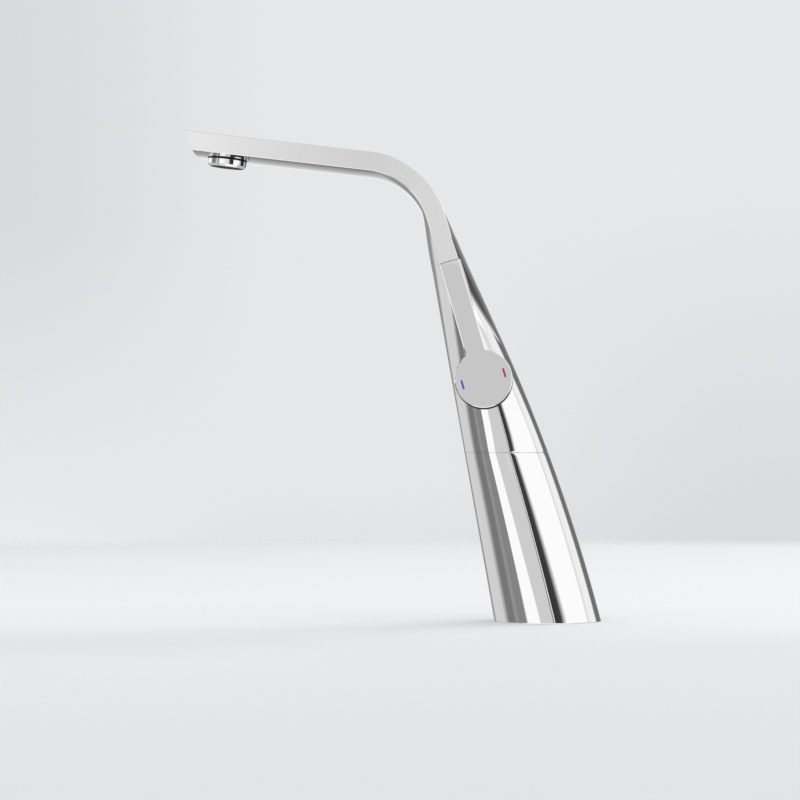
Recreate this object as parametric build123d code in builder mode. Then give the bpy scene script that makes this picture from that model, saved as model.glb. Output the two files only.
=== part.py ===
from build123d import *
from math import asin, cos, degrees, radians, sin, sqrt, tan
import os

# Driving dimensions of the whole tap, in millimetres and degrees.
# +Z is up, the spout reaches towards -X, the handle is on the -Y side and the
# origin is the centre of the foot on the deck.
foot_radius = 36.7
inner_lean = 10.07
outer_lean_foot = 14.5
outer_lean_neck = 24.3
outer_bow_height = 195.0
seam_height = 116.0
seam_gap = 0.6
wall = 4.5
shell_sections = 6
cavity_sections = 4
horn_sections = 9
clear_length = 400.0

# Neck and spout: one flat band that bends over, as deep as spout_depth.
spout_depth = 64.0
spout_thickness = 12.8
spout_crown = 1.2
spout_bevel = 0.6
neck_lean = 16.2
spout_rise = 6.65
bend_radius = 53.8
corner_height = 310.6
tip_reach = 163.2
tip_undercut = 26.4
joint_height = 246.3
joint_x = -68.0
neck_root = 8.0
horn_top = 292.0
horn_merge = 250.0
horn_fade = 0.146
horn_tuck = 0.3
horn_deepening = 16.8
horn_ease = 6
duct_thickness = 6.0
duct_depth = 46.0
duct_start = 12.0
duct_rise = 1.2
duct_end_margin = 11.0

# Handle: a disc with a thin lever above it, both in one leaning plane.
handle_lean = 5.5
handle_reach = 84.0
disc_radius = 19.75
disc_thickness = 4.5
lever_width = 13.8
lever_tip_thickness = 2.3
lever_gap = 0.5
swing_gap = 0.35
handle_bevel = 0.55
root_fillet = 2.0
hub_radius = 6.0
hub_length = 5.0
hub_floor = 1.5
grub_radius = 1.5
grub_depth = 7.0
mark_length = 6.5
mark_width = 1.3
mark_depth = 0.5
mark_offset = 14.7
mark_corner = 0.3
grub_length = 2.6
grub_key_radius = 0.8
grub_key_depth = 1.4

# Cartridge: depths are measured inwards from the face of the disc.
pivot_depth = 16.0
collar_radius = 15.5
collar_face_depth = 13.0
cover_rim_depth = 8.7
cover_lip_depth = 7.0
cover_lip_radius = 9.4
cover_wall = 1.2
cover_spigot = 1.2
nut_radius = 14.0
nut_length = 5.5
nut_key_width = 2.4
neck_radius = 9.5
neck_wall = 1.2
shoulder_depth = 20.0
cartridge_radius = 12.5
cartridge_wall = 1.5
stem_width = 6.0
pin_radius = 1.25
turret_top_depth = 12.0
turret_bottom_depth = 24.0
turret_slot_length = 12.0
stem_bottom_depth = 22.0
ball_depth = 26.0
ball_radius = 2.4
ball_neck_radius = 1.6
ball_play = 0.35
carrier_radius = 8.0
carrier_top_depth = 24.6
carrier_bottom_depth = 30.0
ceramic_thickness = 3.0
base_spigot_length = 1.5
base_flange_length = 2.5
port_radius = 2.0
port_offset = 5.0
seal_wall = 1.1
seal_thickness = 1.0
inlet_run = 6.5
outlet_run = 14.0
outlet_radius = 2.9
running_gap = 0.05
loose_gap = 0.1

# Swivel between the two halves of the body.
post_radius = 14.5
post_bore = 12.0
post_collar_radius = 18.0
post_collar_length = 3.3
post_rise = 18.5
post_head_room = 0.5
web_thickness = 16.4
bush_wall = 1.5
bush_length = 5.0
glide_ring_inset = 1.4
glide_washer_thickness = 1.0
stop_plate_gap = 0.4
stop_plate_thickness = 2.0
stop_pin_radius = 1.2
stop_pin_inset = 1.6
stop_pin_seat = 5.0
swivel_angle = 60.0
stop_play = 1.2
post_nut_inset = 0.6
post_nut_length = 5.0
socket_radius = 4.5
socket_depth = 10.0
socket_spread = 6.4
socket_inset = 2.0

# Foot.
gasket_thickness = 2.0
gasket_radius = 34.6
plate_radius = 31.2
plate_thickness = 12.0
stud_radius = 3.4
stud_offset = 12.0
hose_slot_length = 27.0
hose_slot_width = 13.0
shoulder_width = 4.0
shoulder_rise = 18.0
boss_radius = 4.5
boss_height = 12.0
boss_offset = 24.0
plate_screw_radius = 2.0
plate_screw_head_radius = 3.6
plate_screw_head_length = 3.0
plate_screw_length = 20.0
screw_key_radius = 1.3
screw_key_depth = 1.6

# Aerator: heights are measured down from the underside of the spout.
aerator_radius = 13.3
aerator_drop = 5.6
aerator_bevel = 1.6
aerator_spot_depth = 0.6
aerator_spot_gap = 0.4
aerator_thread_radius = 12.0
aerator_thread_length = 3.8
aerator_gasket_thickness = 1.0
aerator_throat_radius = 9.5
aerator_setback = 28.8
aerator_wall = 1.6
screen_radius = 11.6
screen_recess = 1.0
screen_thickness = 1.2
screen_cell = 1.3
screen_pitch = 1.75
screen_rim = 1.2
screen_cells = 13
insert_ribs = 6
insert_rib_width = 1.2
insert_core_radius = 4.0

os.makedirs("parts", exist_ok=True)

# Side outline of the leaning body. The spout side is a straight line and the
# outer side is one long arc that ends in a straight line.
bow_radius = outer_bow_height / (sin(radians(outer_lean_neck)) - sin(radians(outer_lean_foot)))


def inner_edge(z):
    """X of the body's edge on the spout side at height z."""
    return -foot_radius - z * tan(radians(inner_lean))


def outer_edge(z):
    """X of the body's outer edge at height z."""
    arc_z = min(z, outer_bow_height)
    lean = asin(sin(radians(outer_lean_foot)) + arc_z / bow_radius)
    arc_x = foot_radius - bow_radius * (cos(radians(outer_lean_foot)) - cos(lean))
    return arc_x - (z - arc_z) * tan(radians(outer_lean_neck))


def body_centre(z):
    """X of the middle of the body at height z."""
    return (inner_edge(z) + outer_edge(z)) / 2


def body_half_width(z):
    """Half of the body's width along X at height z."""
    return (outer_edge(z) - inner_edge(z)) / 2


def levels(low, high, count):
    """Heights spaced evenly from low to high."""
    return [low + (high - low) * step / (count - 1) for step in range(count)]


seam_radius = body_half_width(seam_height)
swivel_x = body_centre(seam_height)
seam_narrowing = body_half_width(seam_height) - body_half_width(seam_height + 1)
lower_top = seam_height - seam_gap
web_bottom = lower_top - web_thickness
stop_top = web_bottom - glide_washer_thickness
stop_bottom = stop_top - stop_plate_thickness
post_bottom = stop_bottom - post_nut_length
post_top = seam_height + post_rise
stop_plate_radius = swivel_x - inner_edge(post_bottom) - wall - stop_plate_gap
stop_pin_circle = stop_plate_radius - stop_pin_inset
stop_ring_radius = stop_pin_circle - stop_pin_radius - stop_plate_gap / 2
aerator_reach = tip_reach - aerator_setback

# Directions and planes. The handle plane is the face of the disc: x across
# the lever, y along it, z out of the face.
neck_dir = Vector(-sin(radians(neck_lean)), 0, cos(radians(neck_lean)))
spout_dir = Vector(-cos(radians(spout_rise)), 0, sin(radians(spout_rise)))
spout_down = Vector(-sin(radians(spout_rise)), 0, -cos(radians(spout_rise)))
cross_dir = Vector(cos(radians(neck_lean)), 0, sin(radians(neck_lean)))
joint_point = Vector(joint_x, -spout_depth / 2, joint_height)
lever_dir = neck_dir * cos(radians(handle_lean)) + Vector(0, 1, 0) * sin(radians(handle_lean))
face_dir = cross_dir.cross(lever_dir)
disc_centre = joint_point - lever_dir * handle_reach
handle_plane = Plane(origin=disc_centre, x_dir=cross_dir, z_dir=face_dir)
lever_side = Plane(origin=disc_centre, x_dir=lever_dir, z_dir=cross_dir)
taper = (disc_thickness - lever_tip_thickness) / (handle_reach - disc_radius)
grub_plane = Plane(origin=disc_centre - face_dir * grub_depth, x_dir=cross_dir, z_dir=lever_dir).offset(
    -stem_width / 2
)

# The band's centre line: a straight neck, a bend and a straight spout.
joint_centre = Vector(joint_x, 0, joint_height)
corner_point = joint_centre + neck_dir * ((corner_height - joint_height) / cos(radians(neck_lean)))
bend_turn = 90 - neck_lean - spout_rise
bend_tangent = bend_radius * tan(radians(bend_turn) / 2)
path_bottom = joint_centre - neck_dir * neck_root
bend_low = corner_point - neck_dir * bend_tangent
bend_high = corner_point + spout_dir * bend_tangent
bend_centre = bend_low - cross_dir * bend_radius
band_section = Plane(origin=path_bottom, x_dir=(0, 1, 0), z_dir=neck_dir)
duct_section = Plane(origin=path_bottom + neck_dir * duct_start, x_dir=(0, 1, 0), z_dir=neck_dir)
tip_corner = corner_point + spout_dir * tip_reach - spout_down * (spout_thickness / 2)
tip_normal = (
    spout_dir * cos(radians(tip_undercut)) + spout_down * sin(radians(tip_undercut))
)
aerator_point = (
    corner_point
    + spout_dir * aerator_reach
    + spout_down * (spout_thickness / 2 + spout_crown)
)
aerator_plane = Plane(origin=aerator_point, x_dir=-spout_dir, z_dir=spout_down)


def band_edge(z, side):
    """X of the band's outer (side 1) or inner (side -1) face at height z."""
    radius = bend_radius + side * spout_thickness / 2
    rise = z - bend_centre.Z
    if rise > radius * sin(radians(neck_lean)):
        return bend_centre.X + sqrt(radius ** 2 - rise ** 2)
    straight = side * spout_thickness / 2 / cos(radians(neck_lean))
    return joint_x + straight - (z - joint_height) * tan(radians(neck_lean))


def horn_edge(z, side):
    """X of the upper body at height z: the leaning body, then the band plus a fading flare."""
    if z <= horn_merge:
        return outer_edge(z) if side > 0 else inner_edge(z)
    flare = horn_fade * (horn_top - z) - horn_tuck
    return band_edge(z, side) + side * flare


def horn_half_depth(z):
    """Half of the upper body's depth along Y at height z.

    It starts with the lower body's own narrowing, which soon fades, and then
    grows with the square of the height above the seam.
    """
    rise = (z - seam_height) / (horn_top - seam_height)
    carried = seam_narrowing * (z - seam_height) * (1 - rise) ** horn_ease
    return seam_radius - carried + horn_deepening * rise ** 2


def inwards(depth):
    """Plane parallel to the face of the disc, a depth into the tap."""
    return handle_plane.offset(-depth)


def write(part, name):
    """Label a finished piece and write its file."""
    part.label = name
    export_step(part, f"parts/{name}.step")


# Lower body: a leaning round shell, open at the bottom, with a thick web on top.
seat_radius = plate_radius + running_gap
boss_places = [(-boss_offset, 0), (boss_offset, 0)]
swivel_plane = Plane(origin=(swivel_x, 0, 0))
with BuildPart() as lower_body:
    for z in levels(0, lower_top, shell_sections):
        with BuildSketch(Plane.XY.offset(z)):
            with Locations((body_centre(z), 0)):
                Circle(body_half_width(z))
    loft()
    with BuildSketch(Plane.XY.offset(plate_thickness)):
        Circle(seat_radius - shoulder_width)
    for z in levels(plate_thickness + shoulder_rise, web_bottom, cavity_sections):
        with BuildSketch(Plane.XY.offset(z)):
            with Locations((body_centre(z), 0)):
                Circle(body_half_width(z) - wall)
    loft(mode=Mode.SUBTRACT)
    with BuildSketch():
        Circle(gasket_radius + running_gap)
    extrude(amount=gasket_thickness, mode=Mode.SUBTRACT)
    with BuildSketch():
        Circle(seat_radius)
    extrude(amount=plate_thickness, mode=Mode.SUBTRACT)
    with BuildSketch(Plane.XY.offset(plate_thickness)):
        with Locations(boss_places):
            Circle(boss_radius)
    extrude(amount=boss_height)
    with BuildSketch(Plane.XY.offset(plate_thickness)):
        with Locations(boss_places):
            Circle(plate_screw_radius + running_gap)
    extrude(amount=plate_screw_length - plate_thickness, mode=Mode.SUBTRACT)
    with BuildSketch(swivel_plane.offset(web_bottom)):
        Circle(post_radius + loose_gap)
    extrude(amount=lower_top - web_bottom, mode=Mode.SUBTRACT)
    for z in (web_bottom, lower_top - bush_length):
        with BuildSketch(swivel_plane.offset(z)):
            Circle(post_radius + bush_wall + running_gap)
        extrude(amount=bush_length, mode=Mode.SUBTRACT)
    with BuildSketch(swivel_plane.offset(web_bottom)):
        with Locations((stop_pin_circle, 0)):
            Circle(stop_pin_radius)
    extrude(amount=stop_pin_seat, mode=Mode.SUBTRACT)
write(lower_body.part, "lower_body")

# Foot parts: rubber ring, clamping plate with the hose slot and its two screws.
with BuildPart() as base_gasket:
    with BuildSketch():
        Circle(gasket_radius)
        Circle(seat_radius, mode=Mode.SUBTRACT)
    extrude(amount=gasket_thickness)
write(base_gasket.part, "base_gasket")

with BuildPart() as base_plate:
    with BuildSketch():
        Circle(plate_radius)
        SlotOverall(hose_slot_length, hose_slot_width, mode=Mode.SUBTRACT)
        with Locations((0, -stud_offset), (0, stud_offset)):
            Circle(stud_radius, mode=Mode.SUBTRACT)
        with Locations(boss_places):
            Circle(plate_screw_radius + running_gap, mode=Mode.SUBTRACT)
    extrude(amount=plate_thickness)
    with BuildSketch():
        with Locations(boss_places):
            Circle(plate_screw_head_radius + loose_gap)
    extrude(amount=plate_screw_head_length, mode=Mode.SUBTRACT)
write(base_plate.part, "base_plate")

with BuildPart() as plate_screws:
    with BuildSketch():
        with Locations(boss_places):
            Circle(plate_screw_head_radius)
    extrude(amount=plate_screw_head_length)
    with BuildSketch():
        with Locations(boss_places):
            Circle(plate_screw_radius)
    extrude(amount=plate_screw_length)
    with BuildSketch():
        with Locations(boss_places):
            RegularPolygon(screw_key_radius, 6)
    extrude(amount=screw_key_depth, mode=Mode.SUBTRACT)
write(plate_screws.part, "plate_screws")

# Upper body: the leaning horn, cut flat front and back and grown into the band.
socket_top = post_top + post_head_room + socket_depth
inlet_tops = [
    Vector(swivel_x + side * socket_spread, socket_inset, socket_top - port_radius)
    for side in (-1, 1)
]
pocket_end = (
    carrier_bottom_depth + 2 * ceramic_thickness + base_spigot_length + base_flange_length
)
inlet_ports = [inwards(pocket_end).from_local_coords((side * port_offset, 0, 0)) for side in (-1, 1)]
outlet_port = inwards(pocket_end).from_local_coords((0, -port_offset, 0))
inlet_ends = [port - face_dir * inlet_run for port in inlet_ports]
outlet_end = outlet_port - face_dir * outlet_run
duct_foot = duct_section.origin + neck_dir * outlet_radius
with BuildPart() as upper_body:
    for z in levels(seam_height, horn_top, horn_sections):
        centre = (horn_edge(z, 1) + horn_edge(z, -1)) / 2
        with BuildSketch(Plane(origin=(centre, 0, z))):
            Ellipse((horn_edge(z, 1) - horn_edge(z, -1)) / 2, horn_half_depth(z))
    loft()
    with Locations((joint_x, 0, seam_height)):
        Box(clear_length, spout_depth, clear_length, mode=Mode.INTERSECT)
    with BuildLine() as band_path:
        Line(path_bottom, bend_low)
        TangentArc(bend_low, bend_high, tangent=neck_dir)
        Line(bend_high, tip_corner + spout_dir * spout_thickness + spout_down * (spout_thickness / 2))
    with BuildSketch(band_section) as band:
        with BuildLine():
            Polyline(
                (-spout_depth / 2, spout_thickness / 2),
                (-spout_depth / 2, -spout_thickness / 2),
                (spout_depth / 2, -spout_thickness / 2),
                (spout_depth / 2, spout_thickness / 2),
            )
            ThreePointArc(
                (spout_depth / 2, spout_thickness / 2),
                (0, spout_thickness / 2 + spout_crown),
                (-spout_depth / 2, spout_thickness / 2),
            )
        make_face()
        chamfer(band.vertices(), spout_bevel)
    sweep(path=band_path.wire())
    split(bisect_by=Plane(origin=tip_corner, z_dir=tip_normal), keep=Keep.BOTTOM)
    with BuildLine() as duct_path:
        Line(duct_section.origin, bend_low)
        TangentArc(bend_low, bend_high, tangent=neck_dir)
        Line(bend_high, corner_point + spout_dir * (aerator_reach + duct_end_margin))
    with BuildSketch(duct_section):
        with Locations((0, -duct_rise)):
            Rectangle(duct_depth, duct_thickness)
    sweep(path=duct_path.wire(), mode=Mode.SUBTRACT)
    with BuildSketch(lever_side):
        Polygon(
            (-disc_radius, -disc_thickness - lever_gap),
            (disc_radius, -disc_thickness - lever_gap),
            (handle_reach + lever_width, -lever_tip_thickness - lever_gap + lever_width * taper),
            (handle_reach + lever_width, spout_depth),
            (-disc_radius, spout_depth),
            align=None,
        )
    lever_wedge = extrude(amount=spout_depth, both=True, mode=Mode.PRIVATE)
    with BuildSketch(inwards(shoulder_depth)):
        Circle(handle_reach + swing_gap)
    lever_sweep = extrude(amount=spout_depth, mode=Mode.PRIVATE)
    add(lever_wedge & lever_sweep, mode=Mode.SUBTRACT)
    with BuildSketch(inwards(shoulder_depth)):
        Circle(collar_radius)
    extrude(amount=shoulder_depth - collar_face_depth)
    with BuildSketch(inwards(collar_face_depth)):
        Circle(collar_radius + swing_gap)
    extrude(amount=spout_depth / 2, mode=Mode.SUBTRACT)
    with BuildSketch(inwards(shoulder_depth)):
        Circle(nut_radius + running_gap)
    extrude(amount=shoulder_depth, mode=Mode.SUBTRACT)
    with BuildSketch(inwards(pocket_end)):
        Circle(cartridge_radius + running_gap)
    extrude(amount=pocket_end - shoulder_depth, mode=Mode.SUBTRACT)
    for place, end in zip(inlet_tops, inlet_ends):
        with BuildSketch(Plane(origin=place, z_dir=end - place)):
            Circle(port_radius)
        extrude(amount=(end - place).length, mode=Mode.SUBTRACT)
    for port, end in zip(inlet_ports, inlet_ends):
        with BuildSketch(Plane(origin=port, z_dir=end - port)):
            Circle(port_radius)
        extrude(amount=(end - port).length + port_radius, mode=Mode.SUBTRACT)
    with BuildSketch(Plane(origin=outlet_port, z_dir=-face_dir)):
        Circle(port_radius)
    extrude(amount=outlet_run + outlet_radius, mode=Mode.SUBTRACT)
    with BuildSketch(Plane(origin=outlet_end, z_dir=duct_foot - outlet_end)):
        Circle(outlet_radius)
    extrude(amount=(duct_foot - outlet_end).length, mode=Mode.SUBTRACT)
    with BuildSketch(swivel_plane.offset(seam_height)):
        Circle(post_radius + running_gap)
    extrude(amount=post_top + post_head_room - seam_height, mode=Mode.SUBTRACT)
    with BuildSketch(swivel_plane.offset(seam_height)):
        Circle(post_collar_radius + running_gap)
    extrude(amount=post_collar_length, mode=Mode.SUBTRACT)
    with BuildSketch(swivel_plane.offset(post_top)):
        with Locations((-socket_spread, socket_inset), (socket_spread, socket_inset)):
            Circle(socket_radius)
    extrude(amount=socket_top - post_top, mode=Mode.SUBTRACT)
    with BuildSketch(aerator_plane.offset(-aerator_spot_depth)):
        Circle(aerator_radius + aerator_spot_gap)
    extrude(amount=aerator_drop, mode=Mode.SUBTRACT)
    with BuildSketch(aerator_plane.offset(-aerator_thread_length - aerator_gasket_thickness)):
        Circle(aerator_thread_radius + running_gap)
    extrude(amount=spout_thickness, mode=Mode.SUBTRACT)
    with BuildSketch(aerator_plane):
        Circle(aerator_throat_radius)
    extrude(amount=-spout_thickness / 2, mode=Mode.SUBTRACT)
write(upper_body.part, "upper_body")

# Swivel parts. The post is screwed into the upper body and turns with it.
with BuildPart() as swivel_post:
    with BuildSketch(swivel_plane.offset(seam_height)):
        Circle(post_collar_radius)
    extrude(amount=post_collar_length)
    with BuildSketch(swivel_plane.offset(post_bottom)):
        Circle(post_radius)
    extrude(amount=post_top - post_bottom)
    with BuildSketch(swivel_plane.offset(post_bottom)):
        Circle(post_bore)
    extrude(amount=post_top - post_bottom, mode=Mode.SUBTRACT)
write(swivel_post.part, "swivel_post")

with BuildPart() as swivel_bushes:
    for z in (web_bottom, lower_top - bush_length):
        with BuildSketch(swivel_plane.offset(z)):
            Circle(post_radius + bush_wall)
            Circle(post_radius + running_gap, mode=Mode.SUBTRACT)
        extrude(amount=bush_length)
write(swivel_bushes.part, "swivel_bushes")

with BuildPart() as glide_ring:
    with BuildSketch(swivel_plane.offset(lower_top)):
        Circle(seam_radius - glide_ring_inset)
        Circle(post_radius + running_gap, mode=Mode.SUBTRACT)
    extrude(amount=seam_gap)
write(glide_ring.part, "glide_ring")

with BuildPart() as glide_washer:
    with BuildSketch(swivel_plane.offset(web_bottom)):
        Circle(stop_ring_radius)
        Circle(post_radius + running_gap, mode=Mode.SUBTRACT)
    extrude(amount=-glide_washer_thickness)
write(glide_washer.part, "glide_washer")

notch_angle = swivel_angle + degrees(asin((stop_pin_radius + stop_play) / stop_pin_circle))
notch_x = clear_length * cos(radians(notch_angle))
notch_y = clear_length * sin(radians(notch_angle))
with BuildPart() as stop_plate:
    with BuildSketch(swivel_plane.offset(stop_top)):
        Circle(stop_plate_radius)
        Polygon((0, 0), (notch_x, -notch_y), (notch_x, notch_y), align=None, mode=Mode.SUBTRACT)
        Circle(stop_ring_radius)
        Circle(post_radius + running_gap, mode=Mode.SUBTRACT)
    extrude(amount=-stop_plate_thickness)
write(stop_plate.part, "stop_plate")

with BuildPart() as stop_pin:
    with BuildSketch(swivel_plane.offset(stop_bottom)):
        with Locations((stop_pin_circle, 0)):
            Circle(stop_pin_radius)
    extrude(amount=web_bottom + stop_pin_seat - stop_bottom)
write(stop_pin.part, "stop_pin")

with BuildPart() as post_nut:
    with BuildSketch(swivel_plane.offset(post_bottom)):
        RegularPolygon(stop_plate_radius - post_nut_inset, 6)
        Circle(post_radius + running_gap, mode=Mode.SUBTRACT)
    extrude(amount=post_nut_length)
write(post_nut.part, "post_nut")

# Cartridge: sleeve, turret, pin, carrier, two ceramic discs, base and seals.
sleeve_bore = cartridge_radius - cartridge_wall
flange_depth = shoulder_depth + neck_wall
fixed_top = carrier_bottom_depth + ceramic_thickness
fixed_bottom = fixed_top + ceramic_thickness
sleeve_bottom = fixed_bottom + base_spigot_length
neck_top = shoulder_depth - nut_length - neck_wall
turret_radius = neck_radius - neck_wall
with BuildPart() as cartridge_sleeve:
    with BuildSketch(inwards(sleeve_bottom)):
        Circle(cartridge_radius)
    extrude(amount=sleeve_bottom - shoulder_depth)
    with BuildSketch(inwards(shoulder_depth)):
        Circle(neck_radius)
    extrude(amount=shoulder_depth - neck_top)
    with BuildSketch(inwards(sleeve_bottom)):
        Circle(sleeve_bore)
    extrude(amount=sleeve_bottom - flange_depth, mode=Mode.SUBTRACT)
    with BuildSketch(inwards(flange_depth)):
        Circle(turret_radius)
    extrude(amount=flange_depth, mode=Mode.SUBTRACT)
write(cartridge_sleeve.part, "cartridge_sleeve")

with BuildPart() as turret:
    with BuildSketch(inwards(turret_bottom_depth)):
        Circle(turret_radius - running_gap)
    extrude(amount=turret_bottom_depth - turret_top_depth)
    with BuildSketch(inwards(turret_bottom_depth)):
        Circle(sleeve_bore - running_gap)
    extrude(amount=turret_bottom_depth - flange_depth)
    with BuildSketch(inwards(turret_bottom_depth)):
        Rectangle(stem_width + 2 * ball_play, turret_slot_length)
    extrude(amount=turret_bottom_depth, mode=Mode.SUBTRACT)
    with BuildSketch(lever_side):
        with Locations((0, -pivot_depth)):
            Circle(pin_radius)
    extrude(amount=cartridge_radius, both=True, mode=Mode.SUBTRACT)
write(turret.part, "turret")

with BuildPart() as turret_pin:
    with BuildSketch(lever_side):
        with Locations((0, -pivot_depth)):
            Circle(pin_radius)
    extrude(amount=turret_radius - ball_play, both=True)
write(turret_pin.part, "turret_pin")

with BuildPart() as lever_stem:
    with BuildSketch(inwards(stem_bottom_depth)):
        Rectangle(stem_width, stem_width)
    extrude(amount=stem_bottom_depth - hub_floor)
    with BuildSketch(inwards(ball_depth)):
        Circle(ball_neck_radius)
    extrude(amount=ball_depth - stem_bottom_depth)
    with Locations(inwards(ball_depth)):
        Sphere(ball_radius)
    with BuildSketch(lever_side):
        with Locations((0, -pivot_depth)):
            Circle(pin_radius + running_gap)
    extrude(amount=cartridge_radius, both=True, mode=Mode.SUBTRACT)
write(lever_stem.part, "lever_stem")

with BuildPart() as disc_carrier:
    with BuildSketch(inwards(carrier_bottom_depth)):
        Circle(carrier_radius)
    extrude(amount=carrier_bottom_depth - carrier_top_depth)
    with BuildSketch(inwards(ball_depth + ball_radius + ball_play)):
        Circle(ball_radius + ball_play)
    extrude(amount=ball_depth, mode=Mode.SUBTRACT)
write(disc_carrier.part, "disc_carrier")

cavity_low = -port_offset - port_radius + ball_play
cavity_high = -port_radius - ball_play
with BuildPart() as moving_ceramic_disc:
    with BuildSketch(inwards(fixed_top)):
        Circle(carrier_radius)
    extrude(amount=ceramic_thickness)
    with BuildSketch(inwards(fixed_top)):
        with Locations((0, (cavity_low + cavity_high) / 2)):
            SlotOverall(2 * port_offset, cavity_high - cavity_low)
    extrude(amount=ceramic_thickness / 2, mode=Mode.SUBTRACT)
write(moving_ceramic_disc.part, "moving_ceramic_disc")

port_places = [(-port_offset, 0), (port_offset, 0), (0, -port_offset)]
with BuildPart() as fixed_ceramic_disc:
    with BuildSketch(inwards(fixed_bottom)):
        Circle(sleeve_bore - running_gap)
        with Locations(port_places):
            Circle(port_radius, mode=Mode.SUBTRACT)
    extrude(amount=ceramic_thickness)
write(fixed_ceramic_disc.part, "fixed_ceramic_disc")

with BuildPart() as cartridge_base:
    with BuildSketch(inwards(sleeve_bottom)):
        Circle(sleeve_bore - running_gap)
    extrude(amount=base_spigot_length)
    with BuildSketch(inwards(pocket_end)):
        Circle(cartridge_radius)
    extrude(amount=base_flange_length)
    with BuildSketch(inwards(pocket_end)):
        with Locations(port_places):
            Circle(port_radius)
    extrude(amount=pocket_end, mode=Mode.SUBTRACT)
    with BuildSketch(inwards(pocket_end)):
        with Locations(port_places):
            Circle(port_radius + seal_wall + running_gap)
    extrude(amount=seal_thickness, mode=Mode.SUBTRACT)
write(cartridge_base.part, "cartridge_base")

with BuildPart() as cartridge_seals:
    with BuildSketch(inwards(pocket_end)):
        with Locations(port_places):
            Circle(port_radius + seal_wall)
        with Locations(port_places):
            Circle(port_radius, mode=Mode.SUBTRACT)
    extrude(amount=seal_thickness)
write(cartridge_seals.part, "cartridge_seals")

with BuildPart() as retaining_nut:
    with BuildSketch(inwards(shoulder_depth)):
        Circle(nut_radius)
        Circle(neck_radius + running_gap, mode=Mode.SUBTRACT)
    extrude(amount=nut_length)
    with BuildSketch(inwards(shoulder_depth - nut_length)):
        Rectangle(2 * nut_radius, nut_key_width)
        Rectangle(nut_key_width, 2 * nut_radius)
    extrude(amount=-nut_key_width, mode=Mode.SUBTRACT)
write(retaining_nut.part, "retaining_nut")

# Cover ring: a domed cap with a lip around the hub and a spigot in the collar.
with BuildPart() as cover_ring:
    with BuildSketch(lever_side):
        Polygon(
            (cover_lip_radius, -cover_lip_depth),
            (collar_radius, -cover_rim_depth),
            (collar_radius, -collar_face_depth),
            (nut_radius, -collar_face_depth),
            (nut_radius, -collar_face_depth - cover_spigot),
            (nut_radius - cover_wall, -collar_face_depth - cover_spigot),
            (nut_radius - cover_wall, -cover_rim_depth - cover_wall),
            (cover_lip_radius, -cover_lip_depth - cover_wall),
            align=None,
        )
    revolve(axis=Axis(disc_centre, face_dir))
write(cover_ring.part, "cover_ring")

# Handle: disc and lever cut from one leaning plate, the back of the lever tapered.
root_height = sqrt(disc_radius ** 2 - (lever_width / 2) ** 2)
with BuildPart() as handle:
    with BuildSketch(handle_plane) as face:
        with Locations((0, handle_reach / 2)):
            Rectangle(lever_width, handle_reach)
        Circle(handle_reach, mode=Mode.INTERSECT)
        Circle(disc_radius)
        roots = [v for v in face.vertices() if abs(v.Y - root_height) < running_gap]
        fillet(roots, root_fillet)
    extrude(amount=-disc_thickness)
    with BuildSketch(lever_side):
        Polygon(
            (disc_radius, -disc_thickness),
            (handle_reach + lever_width, -lever_tip_thickness + lever_width * taper),
            (handle_reach + lever_width, -2 * disc_thickness),
            (disc_radius, -2 * disc_thickness),
            align=None,
        )
    extrude(amount=lever_width, both=True, mode=Mode.SUBTRACT)
    chamfer(handle.faces().sort_by(Axis(disc_centre, face_dir))[-1].edges(), handle_bevel)
    with BuildSketch(inwards(disc_thickness)):
        Circle(hub_radius)
    extrude(amount=-hub_length)
    with BuildSketch(inwards(hub_floor)):
        Rectangle(stem_width + 2 * running_gap, stem_width + 2 * running_gap)
    extrude(amount=-hub_length - disc_thickness, mode=Mode.SUBTRACT)
    with BuildSketch(grub_plane):
        Circle(grub_radius)
    extrude(amount=-hub_radius, mode=Mode.SUBTRACT)
    with BuildSketch(inwards(mark_depth)):
        with Locations((-mark_offset, 0), (mark_offset, 0)):
            RectangleRounded(mark_width, mark_length, mark_corner)
    extrude(amount=mark_depth, mode=Mode.SUBTRACT)
write(handle.part, "handle")

with BuildPart() as handle_screw:
    with BuildSketch(grub_plane):
        Circle(grub_radius)
    extrude(amount=-grub_length)
    with BuildSketch(grub_plane.offset(-grub_length)):
        RegularPolygon(grub_key_radius, 6)
    extrude(amount=grub_key_depth, mode=Mode.SUBTRACT)
write(handle_screw.part, "handle_screw")

for name, side in (("cold_mark", -1), ("hot_mark", 1)):
    with BuildPart() as mark:
        with BuildSketch(inwards(mark_depth)):
            with Locations((side * mark_offset, 0)):
                RectangleRounded(mark_width, mark_length, mark_corner)
        extrude(amount=mark_depth)
    write(mark.part, name)

# Aerator: a chromed ring screwed into the spout, its insert, screen and seal.
seat_depth = aerator_thread_length + aerator_gasket_thickness
screen_top = aerator_drop - screen_recess - screen_thickness
with BuildPart() as aerator_housing:
    with BuildSketch(aerator_plane.offset(-aerator_thread_length)):
        Circle(aerator_thread_radius)
    extrude(amount=aerator_thread_length)
    with BuildSketch(aerator_plane.offset(-aerator_spot_depth)):
        Circle(aerator_radius)
    extrude(amount=aerator_drop + aerator_spot_depth)
    chamfer(aerator_housing.edges().sort_by(Axis(aerator_point, spout_down))[-1], aerator_bevel)
    with BuildSketch(aerator_plane.offset(-aerator_thread_length)):
        Circle(aerator_thread_radius - aerator_wall)
    extrude(amount=spout_thickness, mode=Mode.SUBTRACT)
    with BuildSketch(aerator_plane.offset(screen_top)):
        Circle(screen_radius + running_gap)
    extrude(amount=aerator_drop, mode=Mode.SUBTRACT)
write(aerator_housing.part, "aerator_housing")

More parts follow.
